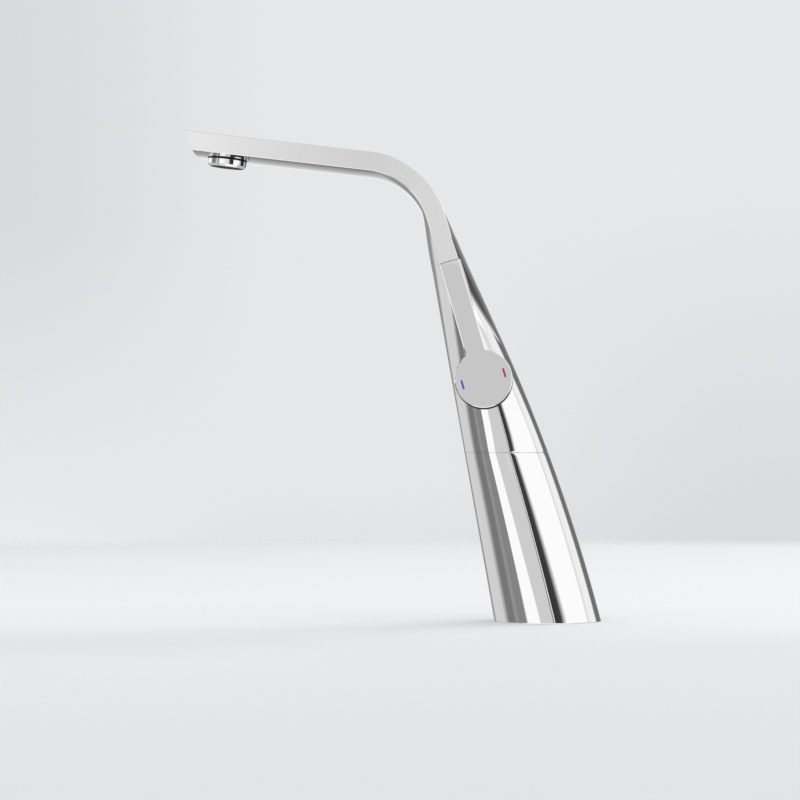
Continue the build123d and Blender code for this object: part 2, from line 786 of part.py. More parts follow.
insert_radius = aerator_thread_radius - aerator_wall - running_gap
with BuildPart() as aerator_insert:
    with BuildSketch(aerator_plane.offset(-aerator_thread_length)):
        Circle(insert_radius)
        Circle(insert_radius - aerator_wall, mode=Mode.SUBTRACT)
        Circle(insert_core_radius)
        with PolarLocations(0, insert_ribs):
            with Locations(((insert_core_radius + insert_radius - aerator_wall) / 2, 0)):
                Rectangle(insert_radius - insert_core_radius, insert_rib_width)
    extrude(amount=aerator_thread_length + screen_top)
write(aerator_insert.part, "aerator_insert")

with BuildPart() as aerator_screen:
    with BuildSketch(aerator_plane.offset(screen_top)) as grid:
        Circle(screen_radius)
        with HexLocations(screen_pitch / 2, screen_cells, screen_cells) as cells:
            places = [spot.position for spot in cells.locations]
        with Locations([p for p in places if p.length < screen_radius - screen_rim]):
            RegularPolygon(screen_cell / 2, 6, mode=Mode.SUBTRACT)
    extrude(amount=screen_thickness)
write(aerator_screen.part, "aerator_screen")

with BuildPart() as aerator_gasket:
    with BuildSketch(aerator_plane.offset(-seat_depth)):
        Circle(aerator_thread_radius)
        Circle(aerator_throat_radius, mode=Mode.SUBTRACT)
    extrude(amount=aerator_gasket_thickness)
write(aerator_gasket.part, "aerator_gasket")
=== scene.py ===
import math

import bmesh
import bpy
import numpy as np
from bpy.props import FloatProperty, FloatVectorProperty, PointerProperty
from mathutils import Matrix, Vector


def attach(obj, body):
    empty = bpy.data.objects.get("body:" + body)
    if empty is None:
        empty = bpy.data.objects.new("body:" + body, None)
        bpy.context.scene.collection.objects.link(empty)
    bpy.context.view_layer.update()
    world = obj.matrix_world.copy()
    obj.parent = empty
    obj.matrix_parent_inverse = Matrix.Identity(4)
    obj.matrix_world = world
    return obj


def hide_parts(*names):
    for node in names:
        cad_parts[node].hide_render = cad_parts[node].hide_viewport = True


bl_info = {
    "name": "Basin Mixer Tap",
    "version": (1, 0, 0),
    "blender": (4, 0, 0),
    "location": "3D View > Sidebar > Tap",
    "description": "Dresses a side-lever basin mixer with a wide bent blade spout",
    "category": "Object",
}

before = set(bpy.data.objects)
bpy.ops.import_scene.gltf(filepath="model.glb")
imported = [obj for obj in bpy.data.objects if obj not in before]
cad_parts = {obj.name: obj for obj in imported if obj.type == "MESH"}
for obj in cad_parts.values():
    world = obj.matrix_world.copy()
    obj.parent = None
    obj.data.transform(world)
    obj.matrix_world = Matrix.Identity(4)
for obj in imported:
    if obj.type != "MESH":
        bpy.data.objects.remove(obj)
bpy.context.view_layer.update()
MM = 0.001

# Small sizes of the body and spout in millimetres that a user would leave alone.
AERATOR_SETBACK = 28.8
BAND_ROOT = 8.0
HORN_BLEND = 14.0
HORN_TUCK = 0.3
TILT_START = 190.0
TILT_RUN = 50.0
TIP_BEVEL = 0.4
TIP_LEAN_RUN = 30.0
TIP_TRIM = 0.15

# Ratios of the same shapes: the horn's flare for each millimetre below its top, the
# power with which the lower body's narrowing fades, how close an extra ring lies to
# an edge of the seam, the widest bevel in a flat side and the rings in an end cap.
HORN_FADE = 0.146
HORN_EASE = 6
EDGE_SHARE = 0.2
BEVEL_SHARE = 0.3
CAP_SHARES = (0.66, 0.33)

# The lower body's inside in millimetres, from the seam down.
SEAM_LIP = 1.3
POST_HOLE_RADIUS = 16.05
WEB_DEPTH = 16.4
TAPER_TOP = 30.0
LEDGE_RADIUS = 27.25
PLATE_SEAT_RADIUS = 31.25
PLATE_SEAT_TOP = 12.0
GASKET_SEAT_RADIUS = 34.65
GASKET_SEAT_TOP = 2.0

# Turned profiles as (radius, distance along the axis) in millimetres.
CARTRIDGE_POCKET = [(15.85, 40), (15.85, -13), (14.05, -13), (14.05, -20), (12.55, -20), (12.55, -40)]
POST_SEAT = [(18.05, 80), (18.05, 119.3), (14.55, 119.3), (14.55, 135)]
AERATOR_BORE = [(13.7, 20), (13.7, -0.6), (12.05, -0.6), (12.05, -4.8), (9.5, -4.8), (9.5, -6.4)]
# The aerator's lip is painted shade: a black rubber ring that stands in for the shadow in the gap round the
# aerator.
AERATOR_SHADOW_LIP = [(13.03, -0.3), (13.45, -0.3), (13.55, 0.3), (13.35, 0.65), (13.03, 0.65)]

# The collar round the cartridge in millimetres.
COLLAR_HOLE_RADIUS = 14.05
COLLAR_START = -13.0
COLLAR_END = -24.0
COLLAR_BEVEL = 0.3

# The recess for the lever in millimetres, and the shares of its radius that have rings.
RECESS_PLAY = 0.5
RECESS_TOP = 60.0
RECESS_RINGS = (0.25, 0.5, 0.75, 1.0)

# The edging of the handle's disc in millimetres: a black ring that paints the shadow in the gap behind the
# disc, deepest below it.
EDGING_THIN = 0.1
EDGING_PROUD = 0.03
EDGING_FLARE = 0.5
EDGING_LAP = 2.6
EDGING_WIDTH = 2.0
EDGING_BITE = 0.02
EDGING_FRONT_ROUND = 0.05
EDGING_BACK_ROUND = 0.15

# How finely the surfaces are divided, and the steps that find the horn's edge.
HORN_STEPS = 12
HORN_RINGS = 110
NECK_RINGS = 24
BEND_RINGS = 60
SPOUT_RINGS = 64
LONG_FACE_POINTS = 97
FLAT_SIDE_POINTS = 5
LOWER_RINGS = 60
LOWER_POINTS = 224
TURNED_POINTS = 128
RECESS_POINTS = 720
EDGING_POINTS = 160
FLOOR_RINGS = 40
FLOOR_POINTS = 96
CARD_POINTS = 33
SHARP_ANGLE = math.radians(28)


# Helpers for the add-on's properties.


def linear(hex_colour):
    """Turn an sRGB hex colour into linear RGBA."""
    parts = [int(hex_colour[i:i + 2], 16) / 255 for i in (0, 2, 4)]
    return tuple(p / 12.92 if p <= 0.04045 else ((p + 0.055) / 1.055) ** 2.4 for p in parts) + (1.0,)


def length(name, default, about):
    """A length property in metres."""
    return FloatProperty(name=name, description=about, default=default, unit="LENGTH", precision=5)


def lean(name, default, about):
    """An angle property, with its default given in degrees."""
    return FloatProperty(name=name, description=about, default=math.radians(default), subtype="ANGLE")


def tone(name, default, about):
    """A colour property, with its default given as an sRGB hex colour."""
    colour = linear(default)[:3]
    return FloatVectorProperty(
        name=name, description=about, default=colour, size=3, min=0.0, max=1.0, subtype="COLOR"
    )


class TapBody(bpy.types.PropertyGroup):
    """Sizes of the round leaning body"""

    foot_radius: length("Foot radius", 0.0367, "Radius of the round foot on the deck")
    inner_lean: lean("Inner lean", 10.07, "Lean of the edge on the spout side")
    foot_lean: lean("Foot lean", 14.5, "Lean of the outer edge at the deck")
    top_lean: lean("Top lean", 24.3, "Lean of the outer edge where its bow ends")
    bow_height: length("Bow height", 0.195, "Height at which the outer edge becomes straight")
    seam_height: length("Seam height", 0.116, "Height of the seam on which the spout swivels")
    seam_gap: length("Seam gap", 0.0006, "Height of the gap that holds the glide ring")
    seam_slit: length("Seam slit", 0.0001, "Height of the slit that is left open round the seam")
    wall: length("Wall", 0.0045, "Wall thickness of the lower body")
    foot_bevel: length("Foot bevel", 0.00035, "Bevel round the foot")
    seam_bevel: length("Seam bevel", 0.00012, "Bevels along the seam")


class TapSpout(bpy.types.PropertyGroup):
    """Sizes of the upper body and the bent spout"""

    depth: length("Blade depth", 0.064, "Depth of the flat band, front to back")
    thickness: length("Blade thickness", 0.0128, "Thickness of the flat band at its edges")
    crown: length("Crown", 0.0012, "Extra thickness in the middle of the underside")
    blade_bevel: length("Blade bevel", 0.0004, "Bevel along the blade's long edges")
    neck_lean: lean("Neck lean", 16.2, "Lean of the straight neck")
    spout_rise: lean("Spout rise", 6.65, "Rise of the spout above the level")
    bend_radius: length("Bend radius", 0.0538, "Radius of the bend's centre line")
    joint_x: length("Joint X", -0.068, "X of the neck's centre line at the lever's end")
    joint_height: length("Joint height", 0.2463, "Height of the lever's end")
    corner_height: length("Corner height", 0.3106, "Height where the neck's and spout's centre lines cross")
    spout_reach: length("Spout reach", 0.1632, "Length from that crossing to the top of the tip")
    tip_undercut: lean("Tip undercut", 26.4, "Slant of the cut at the tip")
    horn_top: length("Horn top", 0.292, "Height where the horn has run into the band")
    horn_merge: length("Horn merge", 0.25, "Height where the horn starts to follow the band")
    horn_deepening: length("Horn deepening", 0.0168, "Growth of the horn's half depth up to its top")


class TapHandle(bpy.types.PropertyGroup):
    """Sizes round the handle"""

    handle_lean: lean("Handle lean", 5.5, "Lean of the handle's plane against the neck")
    handle_reach: length("Handle reach", 0.084, "Length from the disc's centre to the lever's end")
    disc_radius: length("Disc radius", 0.01975, "Radius of the handle's disc")
    disc_thickness: length("Disc thickness", 0.0045, "Thickness of the handle's disc")
    lever_end: length("Lever end", 0.0023, "Thickness of the lever at its end")
    end_gap: length("End gap", 0.00012, "Gap between the lever's end and the neck")
    collar_radius: length("Collar radius", 0.0155, "Radius of the collar round the cartridge")
    # The edging is painted shade: a black ring that stands in for the shadow in the gap behind the disc.
    shadow_edging_depth: length("Edging depth", 0.0068, "Deepest reach of the dark edging behind the disc's face")


class TapLooks(bpy.types.PropertyGroup):
    """Colours of the finishes"""

    chrome: tone("Chrome", "EAEAEB", "Colour of the chromium plate")
    brass: tone("Brass", "C9A45C", "Colour of the machined brass")
    steel: tone("Steel", "B9BBBD", "Colour of the stainless steel")
    rubber: tone("Rubber", "1B1C1D", "Colour of the black rubber")
    acetal: tone("Acetal", "E4E3DC", "Colour of the white acetal")
    resin: tone("Resin", "303335", "Colour of the moulded grey resin")
    ceramic: tone("Ceramic", "EDEAE0", "Colour of the lapped ceramic")
    cold: tone("Cold mark", "0A60C8", "Colour of the cold mark's enamel")
    hot: tone("Hot mark", "C80406", "Colour of the hot mark's enamel")


class TapStage(bpy.types.PropertyGroup):
    """Colour and light of the studio"""

    floor: tone("Floor", "EEEFF0", "Colour of the paper under the tap")
    fill: FloatProperty(
        name="Fill", description="Strength of the soft light from all sides", default=0.86, min=0.0
    )
    softbox: FloatProperty(
        name="Softbox", description="Power of the softbox", default=28.0, min=0.0, unit="POWER"
    )


GROUPS = (
    (TapBody, "tap_body"),
    (TapSpout, "tap_spout"),
    (TapHandle, "tap_handle"),
    (TapLooks, "tap_looks"),
    (TapStage, "tap_stage"),
)


# The tap's curves.


def ease(t):
    """Smooth step from 0 to 1 as t goes from 0 to 1."""
    t = np.clip(t, 0, 1)
    return t * t * (3 - 2 * t)


class Form:
    """The tap's sizes in millimetres, and the curves and planes that follow from them."""

    def __init__(self, scene):
        for group in (scene.tap_body, scene.tap_spout, scene.tap_handle):
            for item in group.bl_rna.properties:
                if item.type == "FLOAT":
                    unit = MM if item.unit == "LENGTH" else 1
                    setattr(self, item.identifier, getattr(group, item.identifier) / unit)
        self.half_depth = self.depth / 2
        self.half_band = self.thickness / 2
        self.bow_radius = self.bow_height / (math.sin(self.top_lean) - math.sin(self.foot_lean))
        self.seam_radius = self.half_width(self.seam_height)
        self.seam_narrowing = self.seam_radius - self.half_width(self.seam_height + 1)
        self.swivel_x = self.centre(self.seam_height)
        up = np.array((-math.sin(self.neck_lean), 0, math.cos(self.neck_lean)))
        self.cross_dir = np.array((math.cos(self.neck_lean), 0, math.sin(self.neck_lean)))
        self.spout_dir = np.array((-math.cos(self.spout_rise), 0, math.sin(self.spout_rise)))
        self.spout_down = np.array((-math.sin(self.spout_rise), 0, -math.cos(self.spout_rise)))
        self.lever_dir = up * math.cos(self.handle_lean) + np.array((0, math.sin(self.handle_lean), 0))
        self.face_dir = np.cross(self.cross_dir, self.lever_dir)
        joint = np.array((self.joint_x, 0, self.joint_height))
        self.disc_centre = joint - np.array((0, self.half_depth, 0)) - self.lever_dir * self.handle_reach
        self.corner = joint + up * (self.corner_height - self.joint_height) / math.cos(self.neck_lean)
        self.top_tilt = math.pi / 2 - self.spout_rise
        self.bend_start = self.bend_radius * math.tan((self.top_tilt - self.neck_lean) / 2)
        self.bend_low = self.corner - up * self.bend_start
        self.bend_centre = self.bend_low - self.cross_dir * self.bend_radius
        self.aerator_point = (
            self.corner
            + self.spout_dir * (self.spout_reach - AERATOR_SETBACK)
            + self.spout_down * (self.half_band + self.crown)
        )

    def inner_edge(self, z):
        """X of the body on the spout side: a straight line that leans back from the foot."""
        return -self.foot_radius - z * math.tan(self.inner_lean)

    def outer_edge(self, z):
        """X of the body's outer side: one long arc, then a straight line at the arc's last slope."""
        arc = np.minimum(z, self.bow_height)
        slope = np.arcsin(math.sin(self.foot_lean) + arc / self.bow_radius)
        bow = self.foot_radius - self.bow_radius * (math.cos(self.foot_lean) - np.cos(slope))
        return bow - (z - arc) * math.tan(self.top_lean)

    def centre(self, z):
        """X of the middle of the body."""
        return (self.outer_edge(z) + self.inner_edge(z)) / 2

    def half_width(self, z):
        """Half of the body's width along X."""
        return (self.outer_edge(z) - self.inner_edge(z)) / 2

    def band_edge(self, z, side):
        """X of the band's face: a straight leaning line, then a circle about the bend's centre."""
        radius = self.bend_radius + side * self.half_band
        rise = z - self.bend_centre[2]
        bent = self.bend_centre[0] + np.sqrt(np.maximum(radius ** 2 - rise ** 2, 0))
        offset = side * self.half_band / math.cos(self.neck_lean)
        straight = self.joint_x + offset - (z - self.joint_height) * math.tan(self.neck_lean)
        return np.where(rise > radius * math.sin(self.neck_lean), bent, straight)

    def horn_section(self, z):
        """Centre, half width and half depth of the horn's ellipse at height z.

        Low down the edges are the body's own. From the merge height they are the
        band's edges plus a flare that shrinks linearly to nothing at the horn's
        top. The half depth starts with the lower body's own narrowing, which soon
        fades, and grows with the square of the height above the seam.
        """
        flare = HORN_FADE * (self.horn_top - z) - HORN_TUCK
        mix = ease((z - self.horn_merge + HORN_BLEND) / (2 * HORN_BLEND))
        left = self.inner_edge(z) * (1 - mix) + (self.band_edge(z, -1) - flare) * mix
        right = self.outer_edge(z) * (1 - mix) + (self.band_edge(z, 1) + flare) * mix
        rise = (z - self.seam_height) / (self.horn_top - self.seam_height)
        carried = self.seam_narrowing * (z - self.seam_height) * (1 - rise) ** HORN_EASE
        half_depth = self.seam_radius - carried + self.horn_deepening * rise ** 2
        return (left + right) / 2, (right - left) / 2, half_depth

    def ring_frames(self):
        """Anchor X, anchor Z, ring tilt and path tilt for each ring from the seam to the tip.

        The rings start level, tilt until they are square to the leaning neck, turn
        with the bend and lean over into the slanting cut at the tip.
        """
        z = np.linspace(self.seam_height, self.joint_height, HORN_RINGS)
        tilt = self.neck_lean * ease((z - TILT_START) / TILT_RUN)
        low = np.stack([self.horn_section(z)[0], z, tilt, np.full_like(z, self.neck_lean)], 1)
        z = np.linspace(self.joint_height, self.bend_low[2], NECK_RINGS)[1:]
        x = self.joint_x - (z - self.joint_height) * math.tan(self.neck_lean)
        steady = np.full_like(z, self.neck_lean)
        neck = np.stack([x, z, steady, steady], 1)
        turn = np.linspace(self.neck_lean, self.top_tilt, BEND_RINGS)[1:]
        x = self.bend_centre[0] + self.bend_radius * np.cos(turn)
        z = self.bend_centre[2] + self.bend_radius * np.sin(turn)
        bend = np.stack([x, z, turn, turn], 1)
        end = self.spout_reach - self.half_band * math.tan(self.tip_undercut) - TIP_TRIM
        along = np.linspace(self.bend_start, end, SPOUT_RINGS)[1:]
        tilt = self.top_tilt + self.tip_undercut * ease((along - end + TIP_LEAN_RUN) / (TIP_LEAN_RUN - 1))
        x = self.corner[0] + along * self.spout_dir[0]
        z = self.corner[2] + along * self.spout_dir[2]
        spout = np.stack([x, z, tilt, np.full_like(along, self.top_tilt)], 1)
        return np.concatenate([low, neck, bend, spout])

    def horn_points(self, frames, depth, side):
        """Points of one long face of the horn and band.

        On each ring a point lies at its depth in Y and at an offset along the ring's
        tilted axis. The offset is the larger of two: half the band's thickness, with
        a crown on the underside, and the horn's ellipse, found in a few steps to the
        height that the offset reaches.
        """
        x0, z0, tilt, path_tilt = (frames[:, i][:, None] for i in range(4))
        crown = self.crown * (1 - (depth / self.half_depth) ** 2) if side < 0 else 0.0
        band = (self.half_band + crown) / np.cos(tilt - path_tilt)
        steep = tilt > math.pi / 4
        horn = np.zeros_like(depth)
        for _ in range(HORN_STEPS):
            z = np.clip(z0 + side * horn * np.sin(tilt), self.seam_height, self.horn_top)
            centre, half, deep = self.horn_section(z)
            edge = centre + side * half * np.sqrt(np.maximum(1 - (depth / deep) ** 2, 0))
            horn = side * (edge - x0) / np.where(steep, 1.0, np.cos(tilt))
        above = z0 + side * horn * np.sin(tilt) > self.horn_top
        horn = np.where(steep | above, 0.0, horn)
        band = np.where(z0 < self.joint_height - BAND_ROOT, 0.0, band)
        offset = side * np.maximum(horn, band)
        return np.stack([x0 + offset * np.cos(tilt), depth, z0 + offset * np.sin(tilt)], 2)


# Helpers for shapes.


def grid_mesh(name, grid, poles=False, loop=False):
    """An object from a grid of points in millimetres that closes on itself sideways.

    With poles each end runs to one point at its ring's middle; with loop the
    last row joins the first.
    """
    rows, around = grid.shape[:2]
    index = np.arange(rows * around).reshape(rows, around)
    if loop:
        index = np.concatenate([index, index[:1]])
    following = np.roll(index, -1, 1)
    faces = np.stack([index[:-1], following[:-1], following[1:], index[1:]], 2).reshape(-1, 4).tolist()
    points = grid.reshape(-1, 3)
    if poles:
        first, last = rows * around, rows * around + 1
        points = np.concatenate([points, [grid[0].mean(0), grid[-1].mean(0)]])
        faces += np.stack([following[0], index[0], np.full(around, first)], 1).tolist()
        faces += np.stack([index[-1], following[-1], np.full(around, last)], 1).tolist()
    mesh = bpy.data.meshes.new(name)
    mesh.from_pydata((points * MM).tolist(), [], faces)
    mesh.update()
    piece = bpy.data.objects.new(name, mesh)
    bpy.context.scene.collection.objects.link(piece)
    return piece


def angles(count):
    """Evenly spaced angles once round."""
    return np.linspace(0, 2 * math.pi, count, endpoint=False)


def turned(name, profile, centre, axis, across, solid=False):
    """A profile of (radius, distance) points turned about an axis: a ring, or a solid with two poles."""
    third = np.cross(axis, across)
    angle = angles(TURNED_POINTS)
    spoke = np.cos(angle)[:, None] * across + np.sin(angle)[:, None] * third
    profile = np.array(profile)
    grid = centre + profile[:, None, 0, None] * spoke[None] + profile[:, None, 1, None] * axis
    piece = grid_mesh(name, grid, poles=solid, loop=not solid)
    outward(piece)
    return piece


def outward(piece):
    """Merge doubles, turn faces outwards, and shade smooth except at edges above the sharp angle."""
    shape = bmesh.new()
    shape.from_mesh(piece.data)
    bmesh.ops.remove_doubles(shape, verts=shape.verts, dist=1e-7)
    bmesh.ops.dissolve_degenerate(shape, edges=shape.edges, dist=1e-7)
    bmesh.ops.recalc_face_normals(shape, faces=shape.faces)
    shape.to_mesh(piece.data)
    shape.free()
    piece.data.shade_smooth()
    piece.data.set_sharp_from_angle(angle=SHARP_ANGLE)


def cut(piece, cutter):
    """Take a cutter's shape out of a piece and delete the cutter."""
    step = piece.modifiers.new("cut", "BOOLEAN")
    step.operation = "DIFFERENCE"
    step.solver = "EXACT"
    step.object = cutter
    depsgraph = bpy.context.evaluated_depsgraph_get()
    result = bpy.data.meshes.new_from_object(piece.evaluated_get(depsgraph))
    piece.modifiers.clear()
    old = piece.data
    name = old.name
    piece.data = result
    bpy.data.meshes.remove(old)
    result.name = name
    bpy.data.objects.remove(cutter)


def dress(piece, body, slot):
    """Give a finished piece its material and slot and let it move with a body."""
    piece.data.materials.clear()
    piece.data.materials.append(finish(slot))
    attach(piece, body)


# Helpers for materials.


def add_node(tree, kind, settings=None, links=None):
    """Add one node, set its attributes, sockets and colour stops, and link its inputs."""
    node = tree.nodes.new(kind)
    for key, value in (settings or {}).items():
        if key == "stops":
            elements = node.color_ramp.elements
            while len(elements) < len(value):
                elements.new(0.5)
            for element, (spot, colour) in zip(elements, value):
                element.position = min(max(spot, 0.0), 1.0)
                element.color = colour
        elif isinstance(key, str) and hasattr(node, key) and key not in node.inputs:
            setattr(node, key, value)
        else:
            node.inputs[key].default_value = value
    for key, source in (links or {}).items():
        tree.links.new(source, node.inputs[key])
    return node


def new_material(name, **values):
    """A material with its shader's own sockets set, and Object coordinates to hang patterns on."""
    material = bpy.data.materials.new(name)
    material.use_nodes = True
    tree = material.node_tree
    tree.nodes.clear()
    shader = add_node(tree, "ShaderNodeBsdfPrincipled")
    for key, value in values.items():
        shader.inputs[key.replace("_", " ")].default_value = value
    add_node(tree, "ShaderNodeOutputMaterial", links={"Surface": shader.outputs["BSDF"]})
    place = add_node(tree, "ShaderNodeTexCoord")
    return material, tree, shader, place.outputs["Object"]


def drive(tree, shader, socket, place, pattern, change):
    """Drive one of the shader's sockets by a pattern.

    The pattern is a kind of node and its settings, and hangs on the place. The change,
    given in the same way, turns its values into a roughness or into a bump.
    """
    kind, settings = pattern
    source = add_node(tree, kind, settings, {"Vector": place}).outputs["Fac"]
    kind, settings = change
    taken = "Height" if kind == "ShaderNodeBump" else "Value"
    result = add_node(tree, kind, settings, {taken: source})
    tree.links.new(result.outputs[0], shader.inputs[socket])


def polished_chrome(looks):
    # Chromium plate over polished brass. The eye gets a sharp, neutral mirror with the
    # faint unevenness of hand polishing, about 16 mm from one soft patch to the next.
    material, tree, shader, place = new_material(
        "polished_chrome_plate", Metallic=1.0, Base_Color=(*looks.chrome, 1.0)
    )
    patches = ("ShaderNodeTexNoise", {"Scale": 1 / (16 * MM), "Detail": 2.0})
    sheen = ("ShaderNodeMapRange", {"From Min": 0.3, "From Max": 0.7, "To Min": 0.03, "To Max": 0.05})
    drive(tree, shader, "Roughness", place, patches, sheen)
    return material


def machined_brass(looks):
    # Turned brass. The eye gets a warm yellow metal with fine tool lines, drawn at 0.4 mm,
    # four times coarser than the real feed, so that they show at all.
    material, tree, shader, place = new_material(
        "machined_brass", Metallic=1.0, Base_Color=(*looks.brass, 1.0), Roughness=0.26
    )
    lines = (
        "ShaderNodeTexWave",
        {"wave_type": "BANDS", "bands_direction": "Z", "Scale": 0.314 / (0.4 * MM), "Distortion": 0.4},
    )
    relief = ("ShaderNodeBump", {"Strength": 0.15, "Distance": 0.05 * MM})
    drive(tree, shader, "Normal", place, lines, relief)
    return material


def turned_steel(looks):
    # Turned stainless steel. The eye gets a grey metal, duller than the chrome, whose
    # sheen varies in streaks about 1 mm apart.
    material, tree, shader, place = new_material(
        "turned_stainless_steel", Metallic=1.0, Base_Color=(*looks.steel, 1.0)
    )
    streaks = ("ShaderNodeTexNoise", {"Scale": 1 / MM, "Detail": 3.0})
    sheen = ("ShaderNodeMapRange", {"To Min": 0.18, "To Max": 0.34})
    drive(tree, shader, "Roughness", place, streaks, sheen)
    return material


def moulded_rubber(looks):
    # Moulded nitrile rubber. The eye gets a near-black, dull skin with a grain of about
    # 0.3 mm that breaks up its highlights.
    material, tree, shader, place = new_material(
        "moulded_nitrile_rubber", Base_Color=(*looks.rubber, 1.0), Roughness=0.62, Specular_IOR_Level=0.35
    )
    grain = ("ShaderNodeTexNoise", {"Scale": 1 / (0.3 * MM), "Detail": 2.0})
    relief = ("ShaderNodeBump", {"Strength": 0.2, "Distance": 0.03 * MM})
    drive(tree, shader, "Normal", place, grain, relief)
    return material


def turned_acetal(looks):
    # Natural acetal, turned and tumbled. The eye gets a milky white that light enters a
    # little, with a satin surface.
    material, tree, shader, place = new_material(
        "natural_acetal",
        Base_Color=(*looks.acetal, 1.0),
        Subsurface_Weight=0.1,
        Subsurface_Scale=0.6 * MM,
        IOR=1.48,
    )
    haze = ("ShaderNodeTexNoise", {"Scale": 1 / (2 * MM), "Detail": 1.0})
    sheen = ("ShaderNodeMapRange", {"To Min": 0.3, "To Max": 0.42})
    drive(tree, shader, "Roughness", place, haze, sheen)
    return material


def moulded_resin(looks):
    # Glass-filled moulded resin. The eye gets a dark, flat grey with paler specks of fibre
    # about 0.5 mm apart and hardly any gloss.
    material, tree, shader, place = new_material("glass_filled_resin", Roughness=0.8, IOR=1.4)
    spacing = 0.5 * MM
    fibre = add_node(tree, "ShaderNodeTexNoise", {"Scale": 1 / spacing, "Detail": 4.0}, {"Vector": place})
    speck = add_node(
        tree,
        "ShaderNodeMapRange",
        {"From Min": 0.55, "From Max": 0.75, "To Max": 0.25},
        {"Value": fibre.outputs["Fac"]},
    )
    brighter = 1.9
    pale = tuple(min(1.0, part * brighter) for part in looks.resin)
    colour = add_node(
        tree,
        "ShaderNodeMix",
        {"data_type": "RGBA", 6: (*looks.resin, 1.0), 7: (*pale, 1.0)},
        {0: speck.outputs["Result"]},
    )
    tree.links.new(colour.outputs[2], shader.inputs["Base Color"])
    return material


def lapped_ceramic(looks):
    # Lapped alumina. The eye gets a warm white, hard and even, with a tight highlight that
    # softens a little in patches some 3 mm wide.
    material, tree, shader, place = new_material(
        "lapped_alumina_ceramic", Base_Color=(*looks.ceramic, 1.0), IOR=1.76
    )
    patches = ("ShaderNodeTexNoise", {"Scale": 1 / (3 * MM)})
    sheen = ("ShaderNodeMapRange", {"To Min": 0.08, "To Max": 0.18})
    drive(tree, shader, "Roughness", place, patches, sheen)
    return material


def enamel(name, colour):
    # Enamel poured into a shallow slot. The eye gets a strong even colour under a faint
    # gloss that sinks and swells very slightly, about 1.5 mm from swell to swell.
    material, tree, shader, place = new_material(
        name,
        Base_Color=(*colour, 1.0),
        Roughness=0.3,
        Specular_IOR_Level=0.25,
        Coat_Weight=0.1,
        Coat_Roughness=0.08,
        IOR=1.52,
    )
    swell = ("ShaderNodeTexNoise", {"Scale": 1 / (1.5 * MM), "Detail": 0.0})
    relief = ("ShaderNodeBump", {"Strength": 0.1, "Distance": 0.02 * MM})
    drive(tree, shader, "Coat Normal", place, swell, relief)
    return material


FINISHES = {
    "chrome": polished_chrome,
    "brass": machined_brass,
    "steel": turned_steel,
    "rubber": moulded_rubber,
    "polymer_white": turned_acetal,
    "polymer_grey": moulded_resin,
    "ceramic": lapped_ceramic,
    "cold_blue": lambda looks: enamel("blue_enamel", looks.cold),
    "hot_red": lambda looks: enamel("red_enamel", looks.hot),
}
MADE = {}


def finish(slot):
    """The material of a slot of the record, made once."""
    if slot not in MADE:
        MADE[slot] = FINISHES[slot](bpy.context.scene.tap_looks)
    return MADE[slot]


# The pieces.


class TAP_OT_lower(bpy.types.Operator):
    """Build the smooth lower body"""

    bl_idname = "tap.lower"
    bl_label = "Lower body"

    def execute(self, context):
        """Level circles about the leaning middle, up the outside, over the rim and down the inside."""
        form = Form(context.scene)
        top = form.seam_height - form.seam_gap
        z = np.linspace(0, top, LOWER_RINGS)
        outer = np.stack([form.centre(z), form.half_width(z), z], 1)
        foot = outer[0] - (0, form.foot_bevel, 0)
        foot_edge = outer[0] + (0, 0, form.foot_bevel)
        rim_top = form.seam_height - form.seam_slit
        rim = np.array((form.centre(rim_top), form.half_width(rim_top) - form.seam_bevel, rim_top))
        rim_edge = rim + (0, form.seam_bevel, -form.seam_bevel)
        near_rim = outer[-1] + (rim_edge - outer[-1]) * (1 - EDGE_SHARE)
        lip = form.seam_radius - SEAM_LIP
        web = top - WEB_DEPTH
        inside = [
            (form.swivel_x, lip, rim_top),
            (form.swivel_x, lip, top),
            (form.swivel_x, POST_HOLE_RADIUS, top),
            (form.swivel_x, POST_HOLE_RADIUS, web),
            (form.centre(web), form.half_width(web) - form.wall, web),
            (form.centre(TAPER_TOP), form.half_width(TAPER_TOP) - form.wall, TAPER_TOP),
            (0, LEDGE_RADIUS, PLATE_SEAT_TOP),
            (0, PLATE_SEAT_RADIUS, PLATE_SEAT_TOP),
            (0, PLATE_SEAT_RADIUS, GASKET_SEAT_TOP),
            (0, GASKET_SEAT_RADIUS, GASKET_SEAT_TOP),
            (0, GASKET_SEAT_RADIUS, 0),
        ]
        rows = np.array([foot, foot_edge, *outer[1:], near_rim, rim_edge, rim, *inside])
        angle = angles(LOWER_POINTS)
        ring = np.stack([np.cos(angle), np.sin(angle), np.zeros_like(angle)], 1)
        middle = rows * (1, 0, 1)
        grid = middle[:, None] + rows[:, 1][:, None, None] * ring[None]
        piece = grid_mesh("lower_shell", grid, loop=True)
        outward(piece)
        dress(piece, "base", "chrome")
        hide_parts("lower_body")
        return {"FINISHED"}


